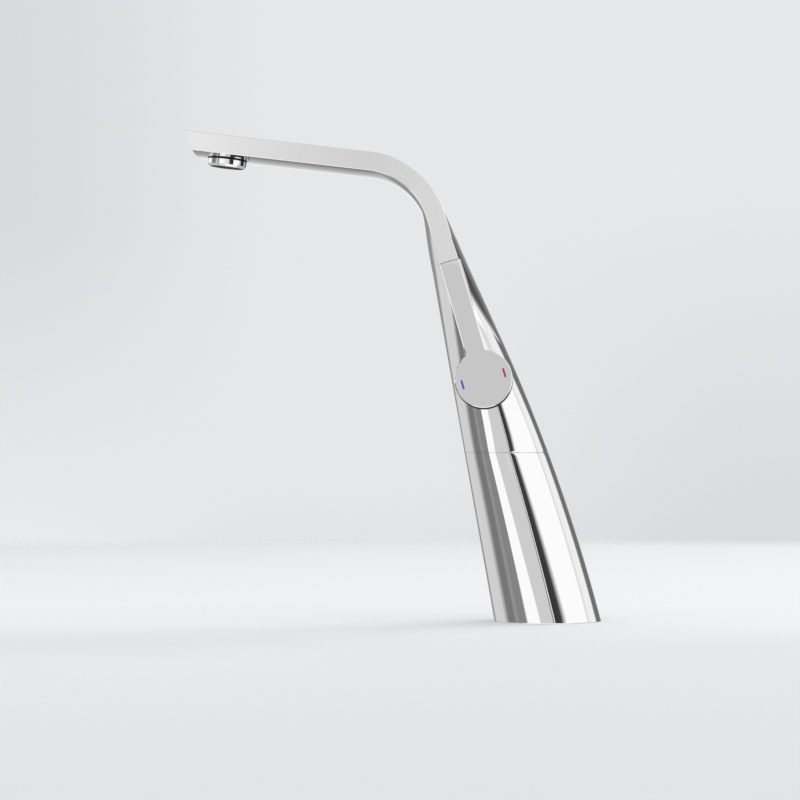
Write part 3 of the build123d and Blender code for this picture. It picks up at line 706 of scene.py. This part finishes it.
class TAP_OT_spout(bpy.types.Operator):
    """Build the upper body with its bent blade spout, its collar and the aerator's dark lip, which paints
    the shadow in the gap round the aerator
    """

    bl_idname = "tap.spout"
    bl_label = "Upper body and spout"

    def execute(self, context):
        form = Form(context.scene)
        piece = grid_mesh("upper_horn", self.skin(form), poles=True)
        outward(piece)
        cut(piece, self.lever_recess(form))
        cartridge = (form.disc_centre, form.face_dir, form.cross_dir)
        post = (np.array((form.swivel_x, 0, 0)), np.array((0, 0, 1)), np.array((1, 0, 0)))
        aerator = (form.aerator_point, form.spout_down, -form.spout_dir)
        cut(piece, turned("pocket", CARTRIDGE_POCKET, *cartridge, solid=True))
        cut(piece, turned("seat", POST_SEAT, *post, solid=True))
        cut(piece, turned("bore", AERATOR_BORE, *aerator, solid=True))
        outward(piece)
        dress(piece, "spout", "chrome")
        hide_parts("upper_body")
        profile = [
            (COLLAR_HOLE_RADIUS, COLLAR_START),
            (form.collar_radius - COLLAR_BEVEL, COLLAR_START),
            (form.collar_radius, COLLAR_START - COLLAR_BEVEL),
            (form.collar_radius, COLLAR_END),
            (COLLAR_HOLE_RADIUS, COLLAR_END),
        ]
        dress(turned("collar", profile, *cartridge), "spout", "chrome")
        # Painted shade: the black rubber lip stands in for the shadow in the gap round the aerator.
        dress(turned("aerator_shadow_lip", AERATOR_SHADOW_LIP, *aerator), "spout", "rubber")
        return {"FINISHED"}

    def skin(self, form):
        """Rings of points from the seam to the tip: two long faces and the flat sides between them.

        A long face's depths follow the sine of an evenly spaced angle, so that the
        points crowd where the horn turns away from the eye.
        """
        frames = form.ring_frames()
        z = np.clip(frames[:, 1], form.seam_height, form.horn_top)
        deep = form.horn_section(z)[2][:, None]
        flat = np.clip(deep - form.half_depth, 0, 1)
        reach = np.minimum(deep, form.half_depth)
        limit = np.arcsin(np.clip((reach - form.blade_bevel * flat) / deep, 0, 1))
        depth = deep * np.sin(np.linspace(-1, 1, LONG_FACE_POINTS)[None] * limit)
        outer = form.horn_points(frames, depth, 1)
        inner = form.horn_points(frames, depth, -1)[:, ::-1]
        strips = []
        for side, first, last in ((1, outer[:, -1], inner[:, 0]), (-1, inner[:, -1], outer[:, 0])):
            span = last - first
            width = np.linalg.norm(span, axis=1)[:, None]
            inset = np.minimum(form.blade_bevel * flat, width * BEVEL_SHARE) / np.maximum(width, 1e-6)
            steps = inset + (1 - 2 * inset) * np.linspace(0, 1, FLAT_SIDE_POINTS)
            strip = first[:, None] + steps[:, :, None] * span[:, None]
            strip[:, :, 1] = side * reach
            strips.append(strip)
        rings = np.concatenate([outer, strips[0], inner, strips[1]], 1)
        foot = rings[0]
        middle = np.array((form.swivel_x, 0, form.seam_height))
        foot_in = middle + (foot - middle) * (1 - form.seam_bevel / form.seam_radius)
        tip = rings[-1]
        up = np.array((math.cos(frames[-1, 2]), 0, math.sin(frames[-1, 2])))
        back = -form.spout_dir * TIP_BEVEL / math.cos(form.tip_undercut)
        height = (tip - tip.mean(0)) @ up
        outwards = np.sign(height)[:, None] * up + np.sign(tip[:, 1])[:, None] * (0, 1, 0)
        tip_in = tip - TIP_BEVEL * outwards
        near_foot = foot + (rings[1] - foot) * EDGE_SHARE
        foot_edge = foot + (0, 0, form.seam_bevel)
        start, end = (
            [ring.mean(0) + (ring - ring.mean(0)) * share for share in CAP_SHARES]
            for ring in (foot_in, tip_in)
        )
        seam_rows = [*reversed(start), foot_in, foot_edge, near_foot]
        return np.stack([*seam_rows, *rings[1:-1], tip + back, tip_in, *end])

    def lever_recess(self, form):
        """A cutter in front of the lever's back, round at the lever's swing radius.

        Its floor lies half a millimetre behind the lever and rises with the lever's
        taper along the lever's direction.
        """
        angle = angles(RECESS_POINTS)
        radius = form.handle_reach + form.end_gap
        across = radius * np.sin(angle)
        along = radius * np.cos(angle)
        taper = (form.disc_thickness - form.lever_end) / (form.handle_reach - form.disc_radius)
        rows = []
        for share in RECESS_RINGS:
            rise = taper * np.clip(along * share - form.disc_radius, 0, None)
            level = rise - form.disc_thickness - RECESS_PLAY
            rows.append(
                form.disc_centre
                + (across * share)[:, None] * form.cross_dir
                + (along * share)[:, None] * form.lever_dir
                + level[:, None] * form.face_dir
            )
        top = rows[-1] + (RECESS_TOP - level)[:, None] * form.face_dir
        cutter = grid_mesh("recess", np.stack([*rows, top]), poles=True)
        outward(cutter)
        return cutter


class TAP_OT_shadow_edging(bpy.types.Operator):
    """Build the dark edging round the back of the handle's disc: a black ring that paints the shadow in the
    gap behind the disc
    """

    bl_idname = "tap.edging"
    bl_label = "Disc edging"

    def execute(self, context):
        """A ring whose back is deepest below the disc and thins out with the cosine of the angle."""
        form = Form(context.scene)
        angle = angles(EDGING_POINTS)
        spoke = -np.cos(angle)[:, None] * form.lever_dir + np.sin(angle)[:, None] * form.cross_dir
        low = np.clip(np.cos(angle), 0, 1)
        same = np.ones_like(low)
        thin = form.disc_thickness + EDGING_THIN
        back = thin + (form.shadow_edging_depth - thin) * low
        start = form.disc_thickness - EDGING_LAP * low
        step = form.disc_thickness * same
        outer = form.disc_radius + EDGING_PROUD + EDGING_FLARE * low
        inner = (form.disc_radius - EDGING_WIDTH) * same
        bite = (form.disc_radius - EDGING_BITE) * same
        profile = [
            (outer - EDGING_BITE, start),
            (outer, start + EDGING_FRONT_ROUND),
            (outer, back - EDGING_THIN),
            (outer - EDGING_BACK_ROUND, back),
            (inner, back),
            (inner, step),
            (bite, step),
            (bite, start),
        ]
        rows = [
            form.disc_centre + radius[:, None] * spoke - depth[:, None] * form.face_dir
            for radius, depth in profile
        ]
        piece = grid_mesh("disc_shadow_edging", np.stack(rows), loop=True)
        outward(piece)
        # Painted shade: black rubber where the gap behind the disc holds only shadow.
        dress(piece, "lever", "rubber")
        return {"FINISHED"}


class TAP_OT_finishes(bpy.types.Operator):
    """Give every CAD node its finish"""

    bl_idname = "tap.finishes"
    bl_label = "Finishes"

    groups = {
        "chrome": ("lower_body", "upper_body", "handle", "cover_ring", "aerator_housing"),
        "brass": ("base_plate", "swivel_post", "post_nut", "retaining_nut"),
        "steel": ("plate_screws", "stop_plate", "stop_pin", "lever_stem", "turret_pin", "handle_screw"),
        "rubber": ("base_gasket", "cartridge_seals", "aerator_gasket"),
        "polymer_white": ("swivel_bushes", "glide_ring", "glide_washer", "disc_carrier", "turret"),
        "polymer_grey": ("cartridge_sleeve", "cartridge_base", "aerator_insert", "aerator_screen"),
        "ceramic": ("fixed_ceramic_disc", "moving_ceramic_disc"),
        "cold_blue": ("cold_mark",),
        "hot_red": ("hot_mark",),
    }

    def execute(self, context):
        left = set(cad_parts)
        for slot, names in self.groups.items():
            for name in names:
                left.discard(name)
                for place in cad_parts[name].material_slots:
                    place.material = finish(slot)
        if left:
            raise RuntimeError(f"nodes without a finish: {sorted(left)}")
        return {"FINISHED"}


# The stage.

# The camera: the photograph's width, the lens in pixels, the point straight ahead of
# the camera in pixels, and the camera's place in metres.
PHOTO_WIDTH = 800
LENS_PIXELS = 3188
AHEAD_PIXEL = (449, 452.6)
CAMERA_PLACE = (-0.068, -2.2, 0.116)

# The softbox in metres.
SOFTBOX_SIZE = (2.1, 1.8)
SOFTBOX_PLACE = (1.9, 2.1, 2.0)
SOFTBOX_AIM = (-0.05, 0, 0.1)

# The paper: its inner and outer ring in millimetres, in metres where its fade starts
# and ends and the stretch of Y that its painted pool of light covers, and that painted
# light as (share of that stretch, level).
PAPER_RINGS = (0.5, 3000)
PAPER_FADE = (1.7, 2.15)
PAPER_STRETCH = (-1.1, 2.0)
PAPER_PAINTED_LIGHT = (
    (0, 0.96),
    (0.19, 0.97),
    (0.27, 0.985),
    (0.34, 1.055),
    (0.43, 1.05),
    (0.51, 1.02),
    (0.62, 0.99),
    (1, 0.865),
)

# The studio's bands seen in the chrome, as (azimuth in degrees from the
# camera's side, half width of the soft edge, seen grey to the right of it).
STUDIO_BANDS = (
    (-180, 0.1, 138),
    (-152, 5.0, 206),
    (-101, 7.5, 118),
    (-75, 3.0, 146),
    (-67, 3.0, 131),
    (-47, 1.0, 204),
    (15, 1.0, 251),
    (97, 2.5, 216),
    (103, 2.5, 238),
    (130, 3.0, 108),
    (162, 6.0, 150),
)

# The studio's ceiling and floor in the chrome, as (direction's Z where the change
# starts, Z where it is complete, seen grey beyond it).
STUDIO_LEVELS = (
    (0.45, 0.75, 232),
    (0.88, 0.95, 205),
    (-0.28, -0.45, 186),
    (-0.85, -0.92, 242),
)

# The studio's far end, which the spout's underside shows: the stretch of the
# direction's Z that it covers, its edges in Y and X, and its tones as (share of the
# way down, seen grey).
FAR_END_STRETCH = (0.06, -0.25)
FAR_END_AHEAD = (0.4, 0.5)
FAR_END_ASIDE = (0.09, 0.13)
FAR_END = (
    (0, 231),
    (0.23, 214),
    (0.37, 196),
    (0.6, 168),
    (0.77, 146),
    (0.84, 128),
    (0.92, 106),
)

# The wall: the stretch of the direction's Z that it covers, the stretches of X over
# which its middle turns into the left and the right, and the left, middle and right as
# (share of the way up, colour).
# The wall's colours hold painted shade: darker towards the top on the left and towards the horizon on the
# right.
WALL_STRETCH = (-0.03, 0.14)
WALL_LEFT = (-0.045, -0.14)
WALL_RIGHT = (-0.02, 0.1)
WALL_PAINTED_SHADE = (
    ((0, "E9EBED"), (0.6, "D8DADD")),
    ((0, "E1E3E5"), (0.12, "E6E7E9")),
    ((0, "D8DADE"), (0.7, "E6E8E9")),
)

# Reflection cards: the four corners in millimetres, in order round the card, then one
# seen grey, or tones as (share of the way from the first corner to the second, seen
# grey).
CARDS = {
    "card_left": ([(-285, -330, -90), (-20, -330, -90), (-275, -330, 190), (-470, -330, 190)], 250),
    "card_dark": (
        [(84, -330, -60), (400, -330, -60), (136, -330, 215), (2, -330, 215)],
        [(0, 70), (0.04, 70), (0.05, 228), (0.095, 228), (0.105, 60), (0.12, 50), (0.52, 62), (1, 250)],
    ),
    "card_blade": (
        [(-300, -330, 319), (-55, -330, 319), (-55, -330, 420), (-300, -330, 420)],
        [(0, 231), (0.19, 229), (0.35, 220), (0.48, 214), (0.6, 209), (0.7, 206), (0.82, 210), (1, 215)],
    ),
    "card_neck": ([(-135, -1500, 332), (-40, -1500, 332), (-40, -1500, 421), (-135, -1500, 421)], 214),
    "card_handle": ([(-230, -1500, 425), (0, -1500, 425), (0, -1500, 660), (-230, -1500, 660)], 198),
    "card_roof": (
        [(250, 55, 322), (250, 55, 520), (250, 420, 520), (250, 420, 322)],
        [(0, 245), (0.04, 160), (0.1, 84), (0.3, 66), (1, 120)],
    ),
    "card_streak": (
        [(100, -140, 212), (100, 0, 212), (100, 0, 246), (100, -140, 246)],
        [(0, 248), (0.3, 228), (0.5, 214), (0.62, 213), (0.8, 230), (1, 242)],
    ),
    "card_side": (
        [(-250, 45, 140), (-250, -100, 249), (-250, -100, 262), (-250, 45, 262)],
        [(0, 212), (1, 214)],
    ),
    "card_lever": ([(-249, -28, 157), (-249, -60, 157), (-249, -60, 262), (-249, -28, 262)], 245),
    "card_tip": ([(-262, -28.5, 314), (-262, -35, 314), (-262, -35, 336), (-262, -28.5, 336)], 228),
    "card_aerator_left": ([(-540, -330, 250), (-302, -330, 250), (-302, -330, 420), (-540, -330, 420)], 250),
    "card_aerator_edge": ([(-308, 124, 310), (-377, 38, 310), (-377, 38, 370), (-308, 124, 370)], 250),
    "card_aerator_dark": (
        [(-216.8, -20, 300), (-209.4, -20, 300), (-209.4, -20, 317.4), (-216.8, -20, 318.3)],
        50,
    ),
    "card_aerator_right": (
        [(-206.5, -8.8, 300), (-206.5, -4, 300), (-206.5, -4, 316.8), (-206.5, -8.8, 316.8)],
        40,
    ),
}


def seen(grey):
    """Light that makes the chrome show a grey of 0 to 255, as a colour."""
    level = linear(f"{grey:02x}" * 3)[0] / bpy.context.scene.tap_looks.chrome[1]
    return (level, level, level, 1)


def blended(tree, source, low, high, first, second):
    """One colour where a source is at low, another where it is at high, and a smooth change between.

    A colour is a node's output or a grey to be seen in the chrome.
    """
    step = add_node(
        tree,
        "ShaderNodeMapRange",
        {"interpolation_type": "SMOOTHSTEP", "From Min": low, "From Max": high},
        {"Value": source},
    )
    settings = {"data_type": "RGBA"}
    links = {0: step.outputs["Result"]}
    for socket, colour in ((6, first), (7, second)):
        if isinstance(colour, int):
            settings[socket] = seen(colour)
        else:
            links[socket] = colour
    return add_node(tree, "ShaderNodeMix", settings, links).outputs[2]


class TAP_OT_stage(bpy.types.Operator):
    """Build the floor, the studio light and the camera"""

    bl_idname = "tap.stage"
    bl_label = "Stage"

    def execute(self, context):
        scene = context.scene
        self.camera(scene)
        self.studio(scene)
        self.floor(scene)
        self.softbox(scene)
        for name, (corners, tones) in CARDS.items():
            self.card(name, corners, tones)
        scene.view_settings.view_transform = "Standard"
        return {"FINISHED"}

    def camera(self, scene):
        """The camera at the photograph's height, distance and angle."""
        camera = bpy.data.cameras.new("camera")
        camera.sensor_width = 36.0
        camera.lens = LENS_PIXELS / PHOTO_WIDTH * camera.sensor_width
        camera.clip_end = 50.0
        eye = bpy.data.objects.new("camera", camera)
        scene.collection.objects.link(eye)
        yaw, pitch = (math.atan((pixel - PHOTO_WIDTH / 2) / LENS_PIXELS) for pixel in AHEAD_PIXEL)
        eye.rotation_euler = (math.radians(90) + pitch, 0, yaw)
        eye.location = CAMERA_PLACE
        scene.camera = eye

    def studio(self, scene):
        """World: a pale wall for the camera, a banded studio for reflections, even light for the rest."""
        world = bpy.data.worlds.new("studio")
        scene.world = world
        world.use_nodes = True
        tree = world.node_tree
        tree.nodes.clear()
        place = add_node(tree, "ShaderNodeTexCoord")
        axes = add_node(tree, "ShaderNodeSeparateXYZ", links={"Vector": place.outputs["Generated"]})
        rays = add_node(tree, "ShaderNodeLightPath")
        fill = scene.tap_stage.fill
        soft = add_node(
            tree,
            "ShaderNodeMix",
            {"data_type": "RGBA", 6: (fill, fill, fill * 1.01, 1)},
            {0: rays.outputs["Is Glossy Ray"], 7: self.bands(tree, axes)},
        )
        shown = add_node(
            tree,
            "ShaderNodeMix",
            {"data_type": "RGBA"},
            {0: rays.outputs["Is Camera Ray"], 6: soft.outputs[2], 7: self.wall(tree, axes)},
        )
        back = add_node(tree, "ShaderNodeBackground", links={"Color": shown.outputs[2]})
        add_node(tree, "ShaderNodeOutputWorld", links={"Surface": back.outputs["Background"]})

    def bands(self, tree, axes):
        """The studio that the chrome reflects, by azimuth, with its ceiling, floor and far end."""
        x, y, z = (axes.outputs[name] for name in "XYZ")
        towards = add_node(tree, "ShaderNodeMath", {"operation": "MULTIPLY", 1: -1.0}, {0: y})
        turn = add_node(
            tree, "ShaderNodeMath", {"operation": "ARCTAN2"}, {0: x, 1: towards.outputs["Value"]}
        )
        around = add_node(
            tree,
            "ShaderNodeMapRange",
            {"From Min": -math.pi, "From Max": math.pi},
            {"Value": turn.outputs["Value"]},
        )
        stops = []
        grey = STUDIO_BANDS[0][2]
        for azimuth, soft, following in STUDIO_BANDS:
            stops.append(((azimuth - soft + 180) / 360, seen(grey)))
            stops.append(((azimuth + soft + 180) / 360, seen(following)))
            grey = following
        colour = add_node(
            tree, "ShaderNodeValToRGB", {"stops": stops}, {"Fac": around.outputs["Result"]}
        ).outputs["Color"]
        for low, high, grey in STUDIO_LEVELS:
            colour = blended(tree, z, low, high, colour, grey)
        top, bottom = FAR_END_STRETCH
        depth = add_node(tree, "ShaderNodeMapRange", {"From Min": top, "From Max": bottom}, {"Value": z})
        stops = [(spot, seen(grey)) for spot, grey in FAR_END]
        far = add_node(tree, "ShaderNodeValToRGB", {"stops": stops}, {"Fac": depth.outputs["Result"]})
        aside = add_node(tree, "ShaderNodeMath", {"operation": "ABSOLUTE"}, {0: x})
        ahead = blended(tree, y, *FAR_END_AHEAD, colour, far.outputs["Color"])
        return blended(tree, aside.outputs["Value"], *FAR_END_ASIDE, ahead, colour)

    def wall(self, tree, axes):
        """The wall behind, with painted shade: darker towards the top on the left and towards the horizon on
        the right.
        """
        low, high = WALL_STRETCH
        height = add_node(
            tree, "ShaderNodeMapRange", {"From Min": low, "From Max": high}, {"Value": axes.outputs["Z"]}
        )
        left, middle, right = (
            add_node(
                tree,
                "ShaderNodeValToRGB",
                {"stops": [(spot, linear(colour)) for spot, colour in stops]},
                {"Fac": height.outputs["Result"]},
            ).outputs["Color"]
            for stops in WALL_PAINTED_SHADE
        )
        side = blended(tree, axes.outputs["X"], *WALL_LEFT, middle, left)
        return blended(tree, axes.outputs["X"], *WALL_RIGHT, side, right)

    def floor(self, scene):
        """A pale round sheet of paper that fades into the wall away from the tap."""
        angle = angles(FLOOR_POINTS)
        radius = np.geomspace(*PAPER_RINGS, FLOOR_RINGS)[:, None]
        level = np.zeros((FLOOR_RINGS, FLOOR_POINTS))
        grid = np.stack([radius * np.cos(angle), radius * np.sin(angle), level], 2)
        flat = grid_mesh("floor", grid)
        outward(flat)
        flat.data.materials.append(self.paper(scene.tap_stage.floor))
        flat.visible_glossy = False

    def paper(self, colour):
        # Matte photo paper. The eye gets a white with a painted pool of light: brightest round
        # the tap, dimmer towards the camera and the horizon. The paper fades out 2 m away.
        material, tree, shader, place = new_material(
            "matte_photo_paper", Roughness=0.9, Specular_IOR_Level=0.1
        )
        axes = add_node(tree, "ShaderNodeSeparateXYZ", links={"Vector": place})
        near, far = PAPER_STRETCH
        depth = add_node(
            tree, "ShaderNodeMapRange", {"From Min": near, "From Max": far}, {"Value": axes.outputs["Y"]}
        )
        stops = [(spot, (*(part * level for part in colour), 1)) for spot, level in PAPER_PAINTED_LIGHT]
        painted_pool = add_node(tree, "ShaderNodeValToRGB", {"stops": stops}, {"Fac": depth.outputs["Result"]})
        tree.links.new(painted_pool.outputs["Color"], shader.inputs["Base Color"])
        start, end = PAPER_FADE
        reach = add_node(tree, "ShaderNodeVectorMath", {"operation": "LENGTH"}, {0: place})
        fade = add_node(
            tree,
            "ShaderNodeMapRange",
            {"interpolation_type": "SMOOTHSTEP", "From Min": end, "From Max": start},
            {"Value": reach.outputs["Value"]},
        )
        tree.links.new(fade.outputs["Result"], shader.inputs["Alpha"])
        return material

    def softbox(self, scene):
        """One soft lamp high at the back right, so that the shadow falls to the left and forwards."""
        light = bpy.data.lights.new("softbox", "AREA")
        light.shape = "RECTANGLE"
        light.size, light.size_y = SOFTBOX_SIZE
        light.energy = scene.tap_stage.softbox
        lamp = bpy.data.objects.new("softbox", light)
        lamp.location = SOFTBOX_PLACE
        aim = Vector(SOFTBOX_AIM) - lamp.location
        lamp.rotation_euler = aim.to_track_quat("-Z", "Y").to_euler()
        lamp.visible_glossy = False
        scene.collection.objects.link(lamp)

    def card(self, name, corners, tones):
        """A reflection card that glows evenly or with tones across its width.

        It shows in reflections only and neither lights nor shades the tap.
        """
        corners = np.array(corners, float)
        steps = np.linspace(0, 1, CARD_POINTS)[:, None]
        low = corners[0] + (corners[1] - corners[0]) * steps
        high = corners[3] + (corners[2] - corners[3]) * steps
        faces = [(i, i + 1, i + CARD_POINTS + 1, i + CARD_POINTS) for i in range(CARD_POINTS - 1)]
        mesh = bpy.data.meshes.new(name)
        mesh.from_pydata((np.concatenate([low, high]) * MM).tolist(), [], faces)
        across = mesh.attributes.new("across", "FLOAT", "POINT")
        across.data.foreach_set("value", np.tile(steps[:, 0], 2).astype(np.float32))
        piece = bpy.data.objects.new(name, mesh)
        bpy.context.scene.collection.objects.link(piece)
        material = bpy.data.materials.new(name)
        material.use_nodes = True
        tree = material.node_tree
        tree.nodes.clear()
        glow = add_node(tree, "ShaderNodeEmission")
        if isinstance(tones, int):
            glow.inputs["Color"].default_value = seen(tones)
        else:
            share = add_node(tree, "ShaderNodeAttribute", {"attribute_name": "across"})
            stops = [(spot, seen(grey)) for spot, grey in tones]
            shown = add_node(tree, "ShaderNodeValToRGB", {"stops": stops}, {"Fac": share.outputs["Fac"]})
            tree.links.new(shown.outputs["Color"], glow.inputs["Color"])
        add_node(tree, "ShaderNodeOutputMaterial", links={"Surface": glow.outputs["Emission"]})
        mesh.materials.append(material)
        piece.visible_camera = False
        piece.visible_diffuse = False
        piece.visible_shadow = False
        piece.visible_transmission = False


STEPS = (TAP_OT_lower, TAP_OT_spout, TAP_OT_shadow_edging, TAP_OT_finishes, TAP_OT_stage)


class TAP_PT_panel(bpy.types.Panel):
    """The tap's operators and sizes"""

    bl_idname = "TAP_PT_panel"
    bl_label = "Basin mixer tap"
    bl_space_type = "VIEW_3D"
    bl_region_type = "UI"
    bl_category = "Tap"

    def draw(self, context):
        for step in STEPS:
            self.layout.operator(step.bl_idname)
        for _, name in GROUPS:
            box = self.layout.box()
            group = getattr(context.scene, name)
            for item in group.bl_rna.properties:
                if item.type == "FLOAT":
                    box.prop(group, item.identifier)


def register():
    for group, name in GROUPS:
        bpy.utils.register_class(group)
        setattr(bpy.types.Scene, name, PointerProperty(type=group))
    for cls in (*STEPS, TAP_PT_panel):
        bpy.utils.register_class(cls)


def unregister():
    for cls in (TAP_PT_panel, *reversed(STEPS)):
        bpy.utils.unregister_class(cls)
    for group, name in reversed(GROUPS):
        delattr(bpy.types.Scene, name)
        bpy.utils.unregister_class(group)


def main():
    register()
    bpy.ops.tap.lower()
    bpy.ops.tap.spout()
    bpy.ops.tap.edging()
    bpy.ops.tap.finishes()
    bpy.ops.tap.stage()


if __name__ == "__main__":
    main()
